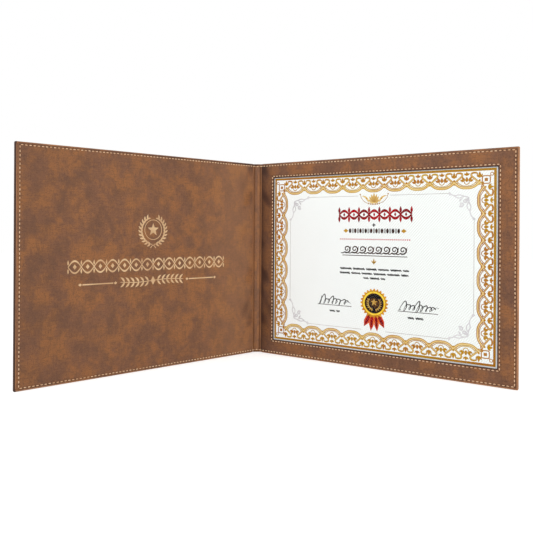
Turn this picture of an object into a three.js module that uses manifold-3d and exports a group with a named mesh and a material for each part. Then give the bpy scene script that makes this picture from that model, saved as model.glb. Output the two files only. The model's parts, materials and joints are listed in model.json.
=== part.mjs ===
// Folding certificate holder, standing open like a book: a front cover, a spine strip and a back panel.
// The back panel is a pocket, open along the spine, whose window frame shows a letter-size certificate
// behind a clear sheet. Millimetres, +Z up, origin on the ground under the middle of the holder.
import * as THREE from 'three';
import { mergeVertices } from 'three/addons/utils/BufferGeometryUtils.js';
import Module from 'manifold-3d';

const wasm = await Module();
wasm.setup();

// The printed sheet, and how the holder frames it
const sheetWidth = 279.4;
const sheetHeight = 215.9;
const sheetThickness = 0.23;
const sheetToPanelEdge = 12.7; // from the certificate's edge to the panel's
const windowOverlap = 6.35; // how far the window frame covers the certificate's edges
const pocketPlay = 0.7; // between the certificate and the turned-in hems

// Thickness of each layer
const skinThickness = 0.9; // outer leatherette and its hem
const liningThickness = 0.9; // inner leatherette, also the window frame's
const boardThickness = 1.9;
const spineBoardThickness = 0.9;
const clearThickness = 0.25;
const pocketLiningThickness = 0.25;
const glueFilm = 0.05; // between layers that are pasted or lie on each other

// Edges, corners and seams
const rimWidth = 2.2; // rolled edge left bare round the lining
const edgeRollRadius = 1.25;
const spineRollRadius = 0.6; // at the spine's top and bottom, where the wrap is thinner
const panelCornerRadius = 1.4;
const liningCornerRadius = 1.2;
const windowCornerRadius = 0.8;
const sheetCornerRadius = 0.5;
const cutEdgeRadius = 0.22; // soft cut edge of the lining and the window frame
const turnRadius = 1.1; // where the lining turns down into a crease
const mitreSlit = 0.3; // between the hems that meet at a corner
const seamToLiningEdge = 1.05;
const seamToWindow = 2.75;
const seamRadius = 0.8; // round bottom of the channel that the thread pulls into the leatherette
const seamDepth = 0.3;

// Folding
const openingAngle = 104; // between the two inner faces, in degrees
const closedGap = 0.9; // between the inner faces when the holder is shut
const foldClearance = 0.5; // between the spine's block and a panel's end at a full fold
const creaseSlit = 0.15; // from each crease line to the leatherette on either side of it

// Worked out from the sizes above
const panelWidth = sheetWidth + 2 * sheetToPanelEdge;
const panelHeight = sheetHeight + 2 * sheetToPanelEdge;
const halfHeight = panelHeight / 2;
const hemWidth = sheetToPanelEdge - pocketPlay;
const hemFace = liningThickness + glueFilm; // depths are measured from the inner face outwards
const boardFace = hemFace + skinThickness + glueFilm;
const skinFace = boardFace + boardThickness + glueFilm;
const panelThickness = skinFace + skinThickness;
const spineLayerFace = skinThickness + glueFilm; // depths in the spine are measured from its outer face
const spineLiningFace = spineLayerFace + spineBoardThickness + glueFilm;
const spineThickness = spineLiningFace + liningThickness;
const spineWidth = 2 * panelThickness + closedGap; // from crease line to crease line
const creaseToPanel = spineThickness + foldClearance;
const creaseToSpineBlock = skinThickness + foldClearance;
const creaseToSpineBoard = creaseToSpineBlock + liningThickness + glueFilm;
const foldAtRest = THREE.MathUtils.degToRad((180 - openingAngle) / 2);
const innerRoll = edgeRollRadius - skinThickness;
const cavityCornerRadius = panelCornerRadius - skinThickness / 2;
const linedEnd = liningThickness + glueFilm; // where the front board ends, inside the lining's turn
const pocketEnd = pocketLiningThickness + glueFilm; // where the back board ends, inside the pocket lining
const seamInset = rimWidth + seamToLiningEdge;
const beyond = 20; // how far cutting shapes run past what they cut

// Steps that round shapes are made of
const cornerSteps = 4;
const bendSteps = 5;
const seamSides = 12;

const leatherette = { roughness: 0.6, metalness: 0 };
const card = { roughness: 0.9, metalness: 0 };
const outerLeatherette = new THREE.MeshStandardMaterial({ color: 0x85603f, ...leatherette });
const innerLeatherette = new THREE.MeshStandardMaterial({ color: 0x875f46, ...leatherette });
const frameLeatherette = new THREE.MeshStandardMaterial({ color: 0x7a5440, ...leatherette });
const greyCard = new THREE.MeshStandardMaterial({ color: 0x8c857a, ...card });
const blackPaper = new THREE.MeshStandardMaterial({ color: 0x2b2724, ...card });
const whitePaper = new THREE.MeshStandardMaterial({ color: 0xf7f6f2, ...card });
const clearPlastic = new THREE.MeshStandardMaterial({
  color: 0xffffff,
  roughness: 0.05,
  metalness: 0,
  transparent: true,
  opacity: 0.15,
});

// A closed geometry as a solid that can be joined and cut
function solid(geometry) {
  geometry.deleteAttribute('normal');
  geometry.deleteAttribute('uv');
  const welded = mergeVertices(geometry);
  return new wasm.Manifold(new wasm.Mesh({
    numProp: 3,
    vertProperties: new Float32Array(welded.attributes.position.array),
    triVerts: new Uint32Array(welded.index.array),
  }));
}

function meshOf(name, shape, material) {
  const result = shape.getMesh();
  const geometry = new THREE.BufferGeometry();
  geometry.setAttribute('position', new THREE.BufferAttribute(new Float32Array(result.vertProperties), 3));
  geometry.setIndex(new THREE.BufferAttribute(new Uint32Array(result.triVerts), 1));
  geometry.computeVertexNormals();
  const mesh = new THREE.Mesh(geometry, material);
  mesh.name = name;
  return mesh;
}

function block(x0, x1, y0, y1, z0, z1) {
  const geometry = new THREE.BoxGeometry(x1 - x0, y1 - y0, z1 - z0);
  return solid(geometry.translate((x0 + x1) / 2, (y0 + y1) / 2, (z0 + z1) / 2));
}

// A rectangle whose corners are rounded at its free side, and at its spine side too if asked
function outline(x0, x1, halfSpan, freeRadius, spineRadius = 0) {
  const shape = new THREE.Shape();
  shape.moveTo(x0 + spineRadius, -halfSpan);
  shape.lineTo(x1 - freeRadius, -halfSpan);
  shape.absarc(x1 - freeRadius, -halfSpan + freeRadius, freeRadius, -Math.PI / 2, 0, false);
  shape.absarc(x1 - freeRadius, halfSpan - freeRadius, freeRadius, 0, Math.PI / 2, false);
  shape.lineTo(x0 + spineRadius, halfSpan);
  if (spineRadius > 0) {
    shape.absarc(x0 + spineRadius, halfSpan - spineRadius, spineRadius, Math.PI / 2, Math.PI, false);
    shape.absarc(x0 + spineRadius, -halfSpan + spineRadius, spineRadius, Math.PI, Math.PI * 1.5, false);
  } else {
    shape.lineTo(x0, halfSpan);
    shape.lineTo(x0, -halfSpan);
  }
  return shape;
}

// A sheet: an outline drawn across and up the panel, given its thickness in depth from y0 to y1, with both
// its edges rounded by the same radius
function sheet(shape, y0, y1, edgeRadius = 0) {
  const geometry = new THREE.ExtrudeGeometry(shape, {
    depth: y1 - y0 - 2 * edgeRadius,
    curveSegments: cornerSteps,
    bevelEnabled: edgeRadius > 0,
    bevelThickness: edgeRadius,
    bevelSize: edgeRadius,
    bevelOffset: -edgeRadius,
    bevelSegments: cornerSteps,
  });
  const across = new THREE.Vector3(1, 0, 0);
  const up = new THREE.Vector3(0, 0, 1);
  const inward = new THREE.Vector3(0, -1, 0);
  geometry.applyMatrix4(new THREE.Matrix4().makeBasis(across, up, inward));
  return solid(geometry.translate(0, y1 - edgeRadius, 0));
}

// A section drawn across and in depth, carried along the height on both sides of the middle
function upright(section, halfSpan) {
  const geometry = new THREE.ExtrudeGeometry(section, {
    depth: 2 * halfSpan,
    curveSegments: bendSteps,
    bevelEnabled: false,
  });
  return solid(geometry.translate(0, 0, -halfSpan));
}

// A sheet with rounded edges on three sides and a straight end at the spine side
function rolledSlab(spineEnd, inset, y0, y1, cornerRadius, edgeRadius) {
  const shape = outline(spineEnd - beyond, panelWidth - inset, halfHeight - inset, cornerRadius);
  return sheet(shape, y0, y1, edgeRadius);
}

const pastSpineEnd = (x) => block(x, panelWidth + beyond, -beyond, beyond, -panelHeight, panelHeight);

// Seam channel: straight runs with a round bottom, sunk into the face at depth y on the side it is seen from
function seamChannel(points, faceY) {
  const runs = points.slice(1).map((to, i) => {
    const start = new THREE.Vector3(points[i][0], faceY - seamRadius + seamDepth, points[i][1]);
    const end = new THREE.Vector3(to[0], faceY - seamRadius + seamDepth, to[1]);
    const along = new THREE.Vector3().subVectors(end, start);
    const rod = new THREE.CylinderGeometry(seamRadius, seamRadius, along.length(), seamSides);
    const turn = new THREE.Quaternion().setFromUnitVectors(
      new THREE.Vector3(0, 1, 0),
      along.clone().normalize(),
    );
    rod.applyQuaternion(turn);
    const middle = new THREE.Vector3().addVectors(start, end).multiplyScalar(0.5);
    return solid(rod.translate(middle.x, middle.y, middle.z));
  });
  return runs.reduce((all, run) => all.add(run));
}

function perimeterSeam() {
  const free = panelWidth - seamInset;
  const high = halfHeight - seamInset;
  return seamChannel([[-beyond, high], [free, high], [free, -high], [-beyond, -high]], 0);
}

// Outer leatherette of one panel: it covers the board's back, rolls round three edges, is turned in as a
// hem with mitred corners, and runs on as a tongue to the crease line, where it is cut back to free the fold
function wrappedCover(boardEnd) {
  const outside = rolledSlab(-creaseToPanel, 0, hemFace, panelThickness, panelCornerRadius, edgeRollRadius);
  const cavity = rolledSlab(
    -creaseToPanel, skinThickness,
    boardFace - glueFilm, skinFace,
    cavityCornerRadius, innerRoll,
  );
  const hemWindow = sheet(
    outline(-creaseToPanel - beyond, panelWidth - hemWidth, halfHeight - hemWidth, sheetCornerRadius),
    0,
    boardFace,
  );
  const tongue = new THREE.Shape([
    new THREE.Vector2(-creaseToPanel + creaseSlit, panelThickness + glueFilm),
    new THREE.Vector2(panelWidth / 2, panelThickness + glueFilm),
    new THREE.Vector2(panelWidth / 2, skinFace),
    new THREE.Vector2(-creaseToPanel + creaseSlit + skinThickness, skinFace),
    new THREE.Vector2(-creaseToPanel + creaseSlit, panelThickness),
  ]);
  const hemEnd = block(-beyond, boardEnd, 0, boardFace, -panelHeight, panelHeight);
  const kept = pastSpineEnd(0).subtract(hemEnd).add(upright(tongue, panelHeight));
  let cover = outside.intersect(kept).subtract(cavity).subtract(hemWindow);
  for (const side of [-1, 1]) {
    const mitreEnd = hemWidth + skinThickness;
    const slit = new THREE.BoxGeometry(2 * hemWidth * Math.SQRT2, 2 * skinThickness, mitreSlit);
    slit.rotateY(-side * Math.PI / 4);
    slit.translate(panelWidth - mitreEnd, hemFace, side * (halfHeight - mitreEnd));
    const hemLayer = block(
      panelWidth - mitreEnd, panelWidth - skinThickness,
      0, boardFace - glueFilm,
      -halfHeight + skinThickness, halfHeight - skinThickness,
    );
    cover = cover.subtract(solid(slit).intersect(hemLayer));
  }
  return cover;
}

function panelBoard(boardEnd) {
  const slab = rolledSlab(
    boardEnd, skinThickness + glueFilm,
    boardFace, boardFace + boardThickness,
    cavityCornerRadius, innerRoll,
  );
  return slab.intersect(pastSpineEnd(boardEnd));
}

// A sheet that lies over a board and turns down over its end at the spine side
function turnedSheet(face, thickness, bend, reach) {
  const bottom = skinFace - glueFilm;
  const section = new THREE.Shape();
  section.moveTo(0, bottom);
  section.lineTo(0, face + bend);
  section.absarc(bend, face + bend, bend, Math.PI, Math.PI * 1.5, false);
  section.lineTo(reach, face);
  section.lineTo(reach, face + thickness);
  section.lineTo(thickness, face + thickness);
  section.lineTo(thickness, bottom);
  return section;
}

function frontLining() {
  const section = turnedSheet(0, liningThickness, turnRadius, panelWidth + beyond);
  const plan = outline(-beyond, panelWidth - rimWidth, halfHeight - rimWidth, liningCornerRadius);
  const cut = sheet(plan, 0, panelThickness + beyond, cutEdgeRadius);
  return upright(section, panelHeight).intersect(cut).subtract(perimeterSeam());
}

function frontFiller() {
  const inset = hemWidth + pocketPlay;
  const shape = outline(linedEnd, panelWidth - inset, halfHeight - inset, sheetCornerRadius);
  return sheet(shape, hemFace, hemFace + skinThickness);
}

function pocketLining() {
  const face = boardFace - glueFilm - pocketLiningThickness;
  const inset = hemWidth + pocketPlay;
  const section = turnedSheet(face, pocketLiningThickness, pocketLiningThickness * 2, panelWidth - inset);
  return upright(section, halfHeight - inset);
}

// Certificate and clear sheet are one size, and lie in the pocket one behind the other
function pocketSheet(face, thickness) {
  const left = (panelWidth - sheetWidth) / 2;
  const shape = outline(left, left + sheetWidth, sheetHeight / 2, sheetCornerRadius, sheetCornerRadius);
  return sheet(shape, face, face + thickness);
}

function windowFacing() {
  const halfSpan = halfHeight - rimWidth;
  const frame = outline(0, panelWidth - rimWidth, halfSpan, liningCornerRadius, liningCornerRadius);
  const border = sheetToPanelEdge + windowOverlap;
  const halfWindow = halfHeight - border;
  frame.holes.push(outline(border, panelWidth - border, halfWindow, windowCornerRadius, windowCornerRadius));
  const left = border - seamToWindow;
  const right = panelWidth - left;
  const high = halfWindow + seamToWindow;
  const windowSeam = seamChannel(
    [[left, high], [right, high], [right, -high], [left, -high], [left, high]],
    0,
  );
  return sheet(frame, 0, liningThickness, cutEdgeRadius).subtract(perimeterSeam()).subtract(windowSeam);
}

// Outer leatherette between the creases, turned in over its own ends. Its long edges are cut back on a
// slant, so that a full fold on either side leaves it free
function spineCover() {
  const hemInner = -(spineLiningFace - glueFilm);
  const section = new THREE.Shape([
    new THREE.Vector2(-creaseSlit, 0),
    new THREE.Vector2(-spineWidth + creaseSlit, 0),
    new THREE.Vector2(-spineWidth + creaseSlit + skinThickness, -skinThickness),
    new THREE.Vector2(-creaseSlit - skinThickness, -skinThickness),
  ]);
  const outer = -spineWidth + creaseToSpineBoard;
  const hem = (side) => block(
    outer, -creaseToSpineBoard,
    hemInner, -skinThickness / 2,
    side > 0 ? halfHeight - hemWidth : -halfHeight - beyond,
    side > 0 ? halfHeight + beyond : -halfHeight + hemWidth,
  );
  const plan = outline(-spineWidth - beyond, beyond, halfHeight, edgeRollRadius);
  const rounded = sheet(plan, hemInner, 0, spineRollRadius);
  return upright(section, panelHeight).add(hem(1)).add(hem(-1)).intersect(rounded);
}

function spineBoard() {
  const halfSpan = halfHeight - hemWidth - pocketPlay;
  return block(
    -spineWidth + creaseToSpineBoard, -creaseToSpineBoard,
    -spineLayerFace - spineBoardThickness, -spineLayerFace,
    -halfSpan, halfSpan,
  );
}

// Inner leatherette strip that the open holder shows between its creases, turned down on both long sides
function spineLining() {
  const right = -creaseToSpineBlock;
  const left = -spineWidth + creaseToSpineBlock;
  const bend = Math.min(turnRadius, liningThickness);
  const section = new THREE.Shape();
  section.moveTo(right, -spineLayerFace);
  section.lineTo(right - liningThickness, -spineLayerFace);
  section.lineTo(right - liningThickness, -spineLiningFace);
  section.lineTo(left + liningThickness, -spineLiningFace);
  section.lineTo(left + liningThickness, -spineLayerFace);
  section.lineTo(left, -spineLayerFace);
  section.lineTo(left, -spineThickness + bend);
  section.absarc(left + bend, -spineThickness + bend, bend, Math.PI, Math.PI * 1.5, false);
  section.absarc(right - bend, -spineThickness + bend, bend, -Math.PI / 2, 0, false);
  const high = halfHeight - seamInset;
  const seams = [high, -high].map((z) => seamChannel([[-spineWidth, z], [0, z]], -spineThickness));
  return upright(section, halfHeight - rimWidth).subtract(seams[0]).subtract(seams[1]);
}

// Back panel: x from its spine end to its free edge, y in depth from its inner face, z up from mid height
const backPanel = new THREE.Group();
const certificateFace = boardFace - 2 * glueFilm - pocketLiningThickness - sheetThickness;
const clearFace = liningThickness + glueFilm;
backPanel.add(
  meshOf('back_outer_cover', wrappedCover(pocketEnd), outerLeatherette),
  meshOf('back_board', panelBoard(pocketEnd), greyCard),
  meshOf('pocket_lining', pocketLining(), blackPaper),
  meshOf('certificate', pocketSheet(certificateFace, sheetThickness), whitePaper),
  meshOf('clear_sheet', pocketSheet(clearFace, clearThickness), clearPlastic),
  meshOf('window_facing', windowFacing(), frameLeatherette),
);

// Front cover: the same panel turned over, so that its free edge points the other way
const frontCover = new THREE.Group();
frontCover.add(
  meshOf('front_outer_cover', wrappedCover(linedEnd), outerLeatherette),
  meshOf('front_board', panelBoard(linedEnd), greyCard),
  meshOf('front_filler_sheet', frontFiller(), greyCard),
  meshOf('front_lining', frontLining(), innerLeatherette),
);
frontCover.position.set(-creaseToPanel, -panelThickness, 0);
frontCover.rotation.y = Math.PI;

// The front crease turns the front cover on the spine, and the back crease turns the spine on the back panel
const frontCrease = new THREE.Group();
frontCrease.add(frontCover);
frontCrease.position.x = -spineWidth;
frontCrease.rotation.z = foldAtRest;

const backCrease = new THREE.Group();
backCrease.add(
  meshOf('spine_outer_cover', spineCover(), outerLeatherette),
  meshOf('spine_board', spineBoard(), greyCard),
  meshOf('spine_lining', spineLining(), innerLeatherette),
  frontCrease,
);
backCrease.position.set(-creaseToPanel, panelThickness, 0);
backCrease.rotation.z = foldAtRest;

const certificateHolder = new THREE.Group();
certificateHolder.add(backPanel, backCrease);
const extent = new THREE.Box3().setFromObject(certificateHolder, true);
const middle = extent.getCenter(new THREE.Vector3());
certificateHolder.position.set(-middle.x, -middle.y, -extent.min.z);

export default certificateHolder;
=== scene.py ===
import json
import math
import bmesh
import bpy
import numpy as np
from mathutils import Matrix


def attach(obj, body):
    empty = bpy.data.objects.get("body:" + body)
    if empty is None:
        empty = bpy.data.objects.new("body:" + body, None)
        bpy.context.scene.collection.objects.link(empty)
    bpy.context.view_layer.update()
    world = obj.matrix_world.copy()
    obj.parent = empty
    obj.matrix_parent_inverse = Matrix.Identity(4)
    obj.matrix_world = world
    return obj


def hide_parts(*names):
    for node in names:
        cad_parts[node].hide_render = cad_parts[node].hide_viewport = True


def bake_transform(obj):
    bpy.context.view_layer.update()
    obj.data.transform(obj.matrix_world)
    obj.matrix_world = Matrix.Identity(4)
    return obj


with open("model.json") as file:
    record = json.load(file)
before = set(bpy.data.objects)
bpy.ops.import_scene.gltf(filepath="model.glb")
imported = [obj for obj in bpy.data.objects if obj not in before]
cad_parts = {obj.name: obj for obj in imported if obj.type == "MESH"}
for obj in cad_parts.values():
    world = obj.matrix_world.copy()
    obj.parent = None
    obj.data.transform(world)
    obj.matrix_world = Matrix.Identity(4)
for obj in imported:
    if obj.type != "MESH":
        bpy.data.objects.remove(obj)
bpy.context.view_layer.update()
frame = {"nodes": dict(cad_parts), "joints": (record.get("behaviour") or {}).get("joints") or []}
print("frame loaded:", len(frame["nodes"]), "nodes")

mm = 0.001  # shapes are worked out in millimetres
random = np.random.default_rng(1947)

# The panel as in the solids: x from its spine end, depth from its inner face, z from its foot
panel = {
    "width": 304.8, "height": 241.3, "thickness": 4.75, "corner": 1.4, "rim": 2.2,
    "creaseLine": -3.3, "midSpine": -8.5, "spineFace": 1.95,
}
fold = {"bend": 1.0, "lean": 23.0, "skinSpan": 1.0, "liningSpan": 0.6}
seam = {
    "inset": 3.25, "frontEndInset": 4.5, "depth": 0.26, "halfWidth": 0.72, "pucker": 0.16,
    "topCount": 72, "sideCount": 57, "creaseHole": 1.9, "spineHole": -6.3,
}
opening = {  # the window in the frame, whose free side is a little wider, and the seam round it
    "border": 19.05, "freeBorder": 19.6, "seamOffset": 2.2, "longCount": 65, "shortCount": 48,
}
windowEdges = {
    "left": opening["border"], "right": panel["width"] - opening["freeBorder"],
    "foot": opening["border"], "top": panel["height"] - opening["border"],
}

joints = {joint["name"]: joint for joint in frame["joints"]}
backCrease = np.array(joints["back_fold"]["pos_m"][:2]) / mm
frontCrease = np.array(joints["front_fold"]["pos_m"][:2]) / mm
foldAngle = math.pi + math.atan2(frontCrease[1] - backCrease[1], frontCrease[0] - backCrease[0])
sides = {
    "back": {"crease": backCrease, "across": np.array([1.0, 0.0]), "depth": np.array([0.0, 1.0])},
    "front": {
        "crease": frontCrease,
        "across": -np.array([math.cos(2 * foldAngle), math.sin(2 * foldAngle)]),
        "depth": np.array([-math.sin(2 * foldAngle), math.cos(2 * foldAngle)]),
    },
}


def smooth(t):  # a soft step from 0 to 1
    t = np.clip(t, 0, 1)
    return t * t * (3 - 2 * t)


def bell(t):  # 1 at nought, falling away on both sides
    return np.exp(-t ** 2)


# A point of the holder laid open flat, taken to where it stands: its place across from the crease line and
# its depth are turned about that line, by the fold angle times a smooth step over the bend
def place(points, side):
    x = points[..., 0] - panel["creaseLine"]
    depth = points[..., 1] - panel["thickness"]
    turn = foldAngle * smooth((fold["bend"] - x) / (2 * fold["bend"]))
    across = x * np.cos(turn) - depth * np.sin(turn)
    out = x * np.sin(turn) + depth * np.cos(turn)
    lie = sides[side]
    plan = lie["crease"] + across[..., None] * lie["across"] + out[..., None] * lie["depth"]
    return np.concatenate([plan, points[..., 2:3]], -1)


def stack(x, depth, z):
    return np.stack(np.broadcast_arrays(x, depth, z), -1).astype(float)


# Soft unevenness of pasted leatherette: three crossed sine waves, between -1 and 1
def ripple(x, z, seed):
    return (np.sin(x / 17.3 + z / 41.0 + seed) + np.sin(z / 13.1 - x / 29.0 + 2.1 * seed)
            + np.sin((x + z) / 8.7 + 1.3 * seed)) / 3


# Quads of a grid of points, row by row, wrapped round where the rows or columns close
def quads(rows, cols, wrapRows=False, wrapCols=False):
    r, c = np.meshgrid(np.arange(rows - (not wrapRows)), np.arange(cols - (not wrapCols)), indexing="ij")
    r2, c2 = (r + 1) % rows, (c + 1) % cols
    return np.stack([r * cols + c, r * cols + c2, r2 * cols + c2, r2 * cols + c], -1).reshape(-1, 4)


def addObject(name, data):
    thing = bpy.data.objects.new(name, data)
    bpy.context.scene.collection.objects.link(thing)
    return thing


def addPiece(name, points, faces, material, attributes=None, caps=(), closed=True, facing=None):
    mesh = bpy.data.meshes.new(name)
    flat = points.reshape(-1, 3)
    if facing is not None:  # a printed layer looks out of the face it is printed on
        a, b, c, d = (flat[faces[:, i]] for i in range(4))
        wrong = np.einsum("ij,j->i", np.cross(c - a, d - b), facing) < 0
        faces = np.where(wrong[:, None], faces[:, ::-1], faces)
    mesh.from_pydata((flat * mm).tolist(), [], faces.tolist() + [list(map(int, cap)) for cap in caps])
    for key, values in (attributes or {}).items():
        kind = "FLOAT_VECTOR" if values.ndim > 1 else "FLOAT"
        layer = mesh.attributes.new(key, kind, "POINT")
        layer.data.foreach_set("vector" if values.ndim > 1 else "value", values.astype(np.float32).ravel())
    work = bmesh.new()
    work.from_mesh(mesh)
    bmesh.ops.remove_doubles(work, verts=work.verts, dist=2e-7)
    if closed:
        bmesh.ops.recalc_face_normals(work, faces=work.faces)
    work.to_mesh(mesh)
    work.free()
    mesh.materials.append(material)
    mesh.shade_smooth()
    return addObject(name, mesh)


# A piece that crosses a crease already has its bend from place(); this only bakes the piece's transform
# into its mesh, the same way on both sides
def bendAcross(piece, side):
    if side == "back":
        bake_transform(piece)
    else:
        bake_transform(piece)


def mathsNode(operation, reflected=False):  # the method of an operator: it adds that Math node
    def method(wire, other):
        first, second = (other, wire) if reflected else (wire, other)
        return wire.recipe.add("Math", {"operation": operation}, {0: first, 1: second})
    return method


class Wire:  # an output socket that can be added, multiplied and so on
    __add__ = mathsNode("ADD")
    __radd__ = mathsNode("ADD", True)
    __sub__ = mathsNode("SUBTRACT")
    __rsub__ = mathsNode("SUBTRACT", True)
    __mul__ = mathsNode("MULTIPLY")
    __rmul__ = mathsNode("MULTIPLY", True)
    __pow__ = mathsNode("POWER")

    def __init__(self, recipe, socket):
        self.recipe, self.socket = recipe, socket


class Recipe:  # the nodes of one material, or of the world
    def __init__(self, name, library=bpy.data.materials):
        self.owner = library.new(name)
        self.owner.use_nodes = True
        self.tree = self.owner.node_tree
        self.tree.nodes.clear()

    def plug(self, socket, value):
        if isinstance(value, Wire):
            self.tree.links.new(value.socket, socket)
        else:
            socket.default_value = value

    def add(self, kind, settings=None, sockets=None, out=0):
        node = self.tree.nodes.new("ShaderNode" + kind)
        for key, value in (settings or {}).items():
            setattr(node, key, value)
        for key, value in (sockets or {}).items():
            self.plug(node.inputs[key], value)
        return Wire(self, node.outputs[out]) if node.outputs else None

    def objectPlace(self):
        return self.add("TexCoord", out="Object")

    def noise(self, vector, scale, detail=2.0, roughness=0.5, distortion=0.0):
        return self.add("TexNoise", {}, {"Vector": vector, "Scale": scale, "Detail": detail,
                                         "Roughness": roughness, "Distortion": distortion})

    def stretch(self, vector, scale, turn=0.0, shift=(0, 0, 0)):
        sockets = {"Vector": vector, "Location": shift, "Rotation": (0, 0, turn), "Scale": scale}
        return self.add("Mapping", {}, sockets)

    def mask(self, value, low, high):
        return self.add("MapRange", {"interpolation_type": "SMOOTHSTEP"},
                        {"Value": value, "From Min": low, "From Max": high})

    def tint(self, factor, a, b):
        first, second = [shade if isinstance(shade, Wire) else (*shade, 1) for shade in (a, b)]
        return self.add("Mix", {"data_type": "RGBA"}, {0: factor, 6: first, 7: second}, out=2)

    def bump(self, height, distance, strength=1.0, under=None):
        sockets = {"Height": height, "Distance": distance, "Strength": strength}
        if under is not None:
            sockets["Normal"] = under
        return self.add("Bump", {}, sockets)

    def surface(self, sockets):
        shader = self.add("BsdfPrincipled", {}, sockets)
        self.add("OutputMaterial", {}, {"Surface": shader})
        return self.owner


# sRGB 0-255 to the linear colour that a socket takes
def colour(r, g, b):
    return tuple((c / 255 / 12.92) if c <= 10 else ((c / 255 + 0.055) / 1.055) ** 2.4 for c in (r, g, b))


# Leatherette: mottled brown skin. A wear-and-shade value turns it toward a rubbed tone, for rubbed edges and
# painted highlights, or toward dark, for smudges and painted shade in seams, creases and under cut edges
leatherette = {
    "ground": colour(127, 86, 61), "warm": colour(158, 103, 58), "smoky": colour(100, 70, 53),
    "dark": colour(58, 32, 19), "rubbedAndLit": colour(200, 146, 104), "roughness": 0.5,
}


def leatherMaterial(name):
    r = Recipe(name)
    at = r.add("Attribute", {"attribute_name": "skinPattern"}, out="Vector")
    wearShade = r.add("Attribute", {"attribute_name": "skinWearAndShade"}, out="Fac")
    clouds = r.noise(at, 0.036, 3.0, 0.5, 0.2)
    warmth = r.noise(r.stretch(at, (1, 0.8, 1), 0.5, (31, 7, 4)), 0.056, 4.0, 0.6, 0.3)
    smoke = r.noise(r.stretch(at, (1, 0.75, 1), -0.3, (5, 83, 9)), 0.08, 4.0, 0.6, 0.35)
    mottle = r.noise(at, 0.3, 4.0, 0.66, 0.5)
    streaks = r.noise(r.stretch(at, (1, 0.16, 1)), 0.62, 3.0, 0.6)
    threads = r.noise(r.stretch(at, (0.16, 1, 1)), 0.62, 3.0, 0.6)
    speckle = r.noise(at, 0.95, 3.0, 0.6)
    tone = leatherette["ground"]
    for pattern, start, full, strength, shade in (  # each pattern shows between two limits, this strongly
            (warmth + clouds * 0.4, 0.58, 0.84, 0.8, "warm"),
            (smoke - clouds * 0.3, 0.28, 0.52, 0.5, "smoky"),
            (mottle, 0.5, 0.74, 0.5, "smoky"),
            (mottle, 0.5, 0.26, 0.45, "warm"),
            (streaks, 0.5, 0.7, 0.38, "smoky"),
            (threads, 0.5, 0.68, 0.38, "smoky"),
            (speckle, 0.47, 0.72, 0.5, "dark")):
        tone = r.tint(r.mask(pattern, start, full) * strength, tone, leatherette[shade])
    # Positive values: rubbed wear and painted highlights; negative values: smudges and painted shade
    tone = r.tint(r.mask(wearShade, 0.0, 1.0) * r.mask(speckle, 0.1, 0.55) * 0.85, tone, leatherette["rubbedAndLit"])
    tone = r.tint(r.mask(0.0 - wearShade, 0.0, 1.0), tone, leatherette["dark"])
    cells = {"Vector": at, "Scale": 1.3, "Randomness": 1.0}
    pores = r.add("TexVoronoi", {"feature": "DISTANCE_TO_EDGE"}, cells)
    creases = r.noise(r.stretch(at, (1, 0.35, 1), 0.7), 0.55, 4.0, 0.65, 1.5)
    normal = r.bump(r.mask(pores, 0.0, 0.16), 0.05 * mm, 0.7)
    normal = r.bump(creases, 0.16 * mm, 0.6, normal)
    return r.surface({
        "Base Color": tone, "Roughness": leatherette["roughness"] + 0.14 * speckle, "Normal": normal,
        "Specular IOR Level": 0.25,
    })


outerLeather = leatherMaterial("outer_leatherette")
innerLeather = leatherMaterial("inner_leatherette")
print("leatherette ready")


# A leatherette piece from its grid of points: its pattern lies on the unfolded skin, and where the columns
# don't close, its two ends are capped
def addLeather(name, points, pattern, wearAndShade, material, wrapRows=False, wrapCols=False):
    rows, cols = points.shape[:2]
    starts = np.arange(rows) * cols
    caps = () if wrapCols else (starts, (starts + cols - 1)[::-1])
    attributes = {"skinPattern": pattern.reshape(-1, 3), "skinWearAndShade": wearAndShade.ravel()}
    return addPiece(name, points, quads(rows, cols, wrapRows, wrapCols), material, attributes, caps)


# Rails: one lap of a panel's three edges at some inset, from the spine, over the top, down the free side and
# back along the foot, so that its second half mirrors the first. Each run keeps its share of points at every
# inset, and laps join into a skin. The corner's radius falls with the inset; the last lap is the middle line
lap = {"freeFrom": 24.0, "alongTop": 268, "corner": 7, "alongHalfSide": 112}
middleLine = panel["height"] / 2


def halfLap(nearX):  # points from the spine to the middle of the free side
    return len(nearX) + lap["alongTop"] + lap["corner"] + lap["alongHalfSide"] + 1


def rails(inset, nearX):
    topShare = np.linspace(0, 1, lap["alongTop"] + 1)[1:]
    turn = np.radians(np.linspace(0, 90, lap["corner"] + 2)[1:-1])
    sideShare = np.linspace(1, 0, lap["alongHalfSide"] + 1)
    parts = np.cumsum([len(nearX), len(topShare), len(turn)])
    near, top, bend, side = np.split(inset[:, :halfLap(nearX)], parts, axis=1)

    def corner(i):
        return np.minimum(np.maximum(panel["corner"] - i, 0.3), np.maximum(middleLine - i, 0))

    def end(i):
        return panel["width"] - i - corner(i)

    x = np.concatenate([
        np.broadcast_to(nearX, near.shape), nearX[-1] + (end(top) - nearX[-1]) * topShare,
        end(bend) + corner(bend) * np.sin(turn), panel["width"] - side,
    ], 1)
    up = np.concatenate([
        middleLine - near, middleLine - top, middleLine - bend - corner(bend) * (1 - np.cos(turn)),
        (middleLine - side - corner(side)) * sideShare,
    ], 1)
    return np.concatenate([x, x[:, -2::-1]], 1), middleLine + np.concatenate([up, -up[:, -2::-1]], 1)


# The seam's runs in flat coordinates: where each starts and ends, and how many stitches it has
high, low = panel["height"] - seam["inset"], seam["inset"]
mirrored = 2 * panel["midSpine"] - seam["spineHole"]
spineRuns = [((seam["spineHole"], level), (mirrored, level), 1) for level in (high, low)]


def panelRuns(side):
    free = panel["width"] - (seam["inset"] if side == "back" else seam["frontEndInset"])
    return [
        ((seam["creaseHole"], high), (free, high), seam["topCount"]),
        ((free, high), (free, low), seam["sideCount"]),
        ((seam["creaseHole"], low), (free, low), seam["topCount"]),
    ]


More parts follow.
